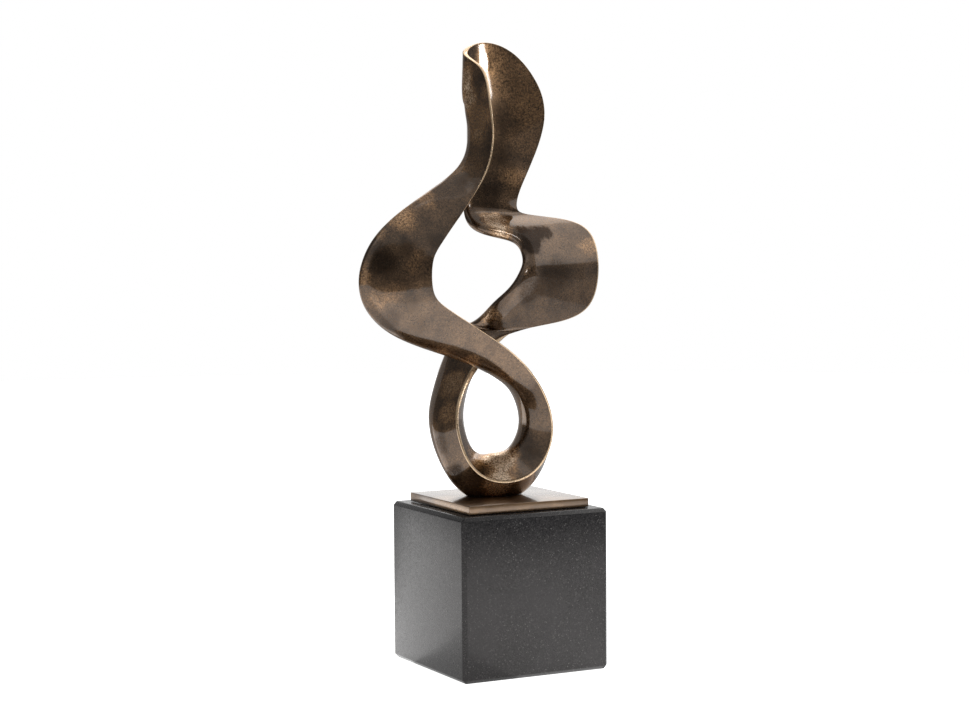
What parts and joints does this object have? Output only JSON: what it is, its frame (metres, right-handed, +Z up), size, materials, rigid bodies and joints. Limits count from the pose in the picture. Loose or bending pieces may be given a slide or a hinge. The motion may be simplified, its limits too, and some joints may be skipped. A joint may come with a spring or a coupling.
{
  "type": "abstract sculpture",
  "caption": "Closed bronze ribbon that loops, crosses itself and folds into an open scoop at the top, standing on a square bronze plate and a dark granite cube.",
  "frame": {"origin": "centre of the granite cube's underside", "axes": "+X to the right along the cube's front face, +Y to the back, +Z up"},
  "size_m": [0.2271, 0.13, 0.5042],
  "materials": {
    "patinated_bronze": "cast bronze with a dark brown patina, rubbed golden on the edges, satin, finely pitted",
    "plate_bronze": "brushed bronze plate with a brown patina, satin",
    "black_granite": "honed dark granite with fine pale grains and chamfered edges"
  },
  "bodies": {
    "root": {"ribbon": "patinated_bronze", "base_plate": "plate_bronze", "plinth": "black_granite"}
  },
  "joints": []
}
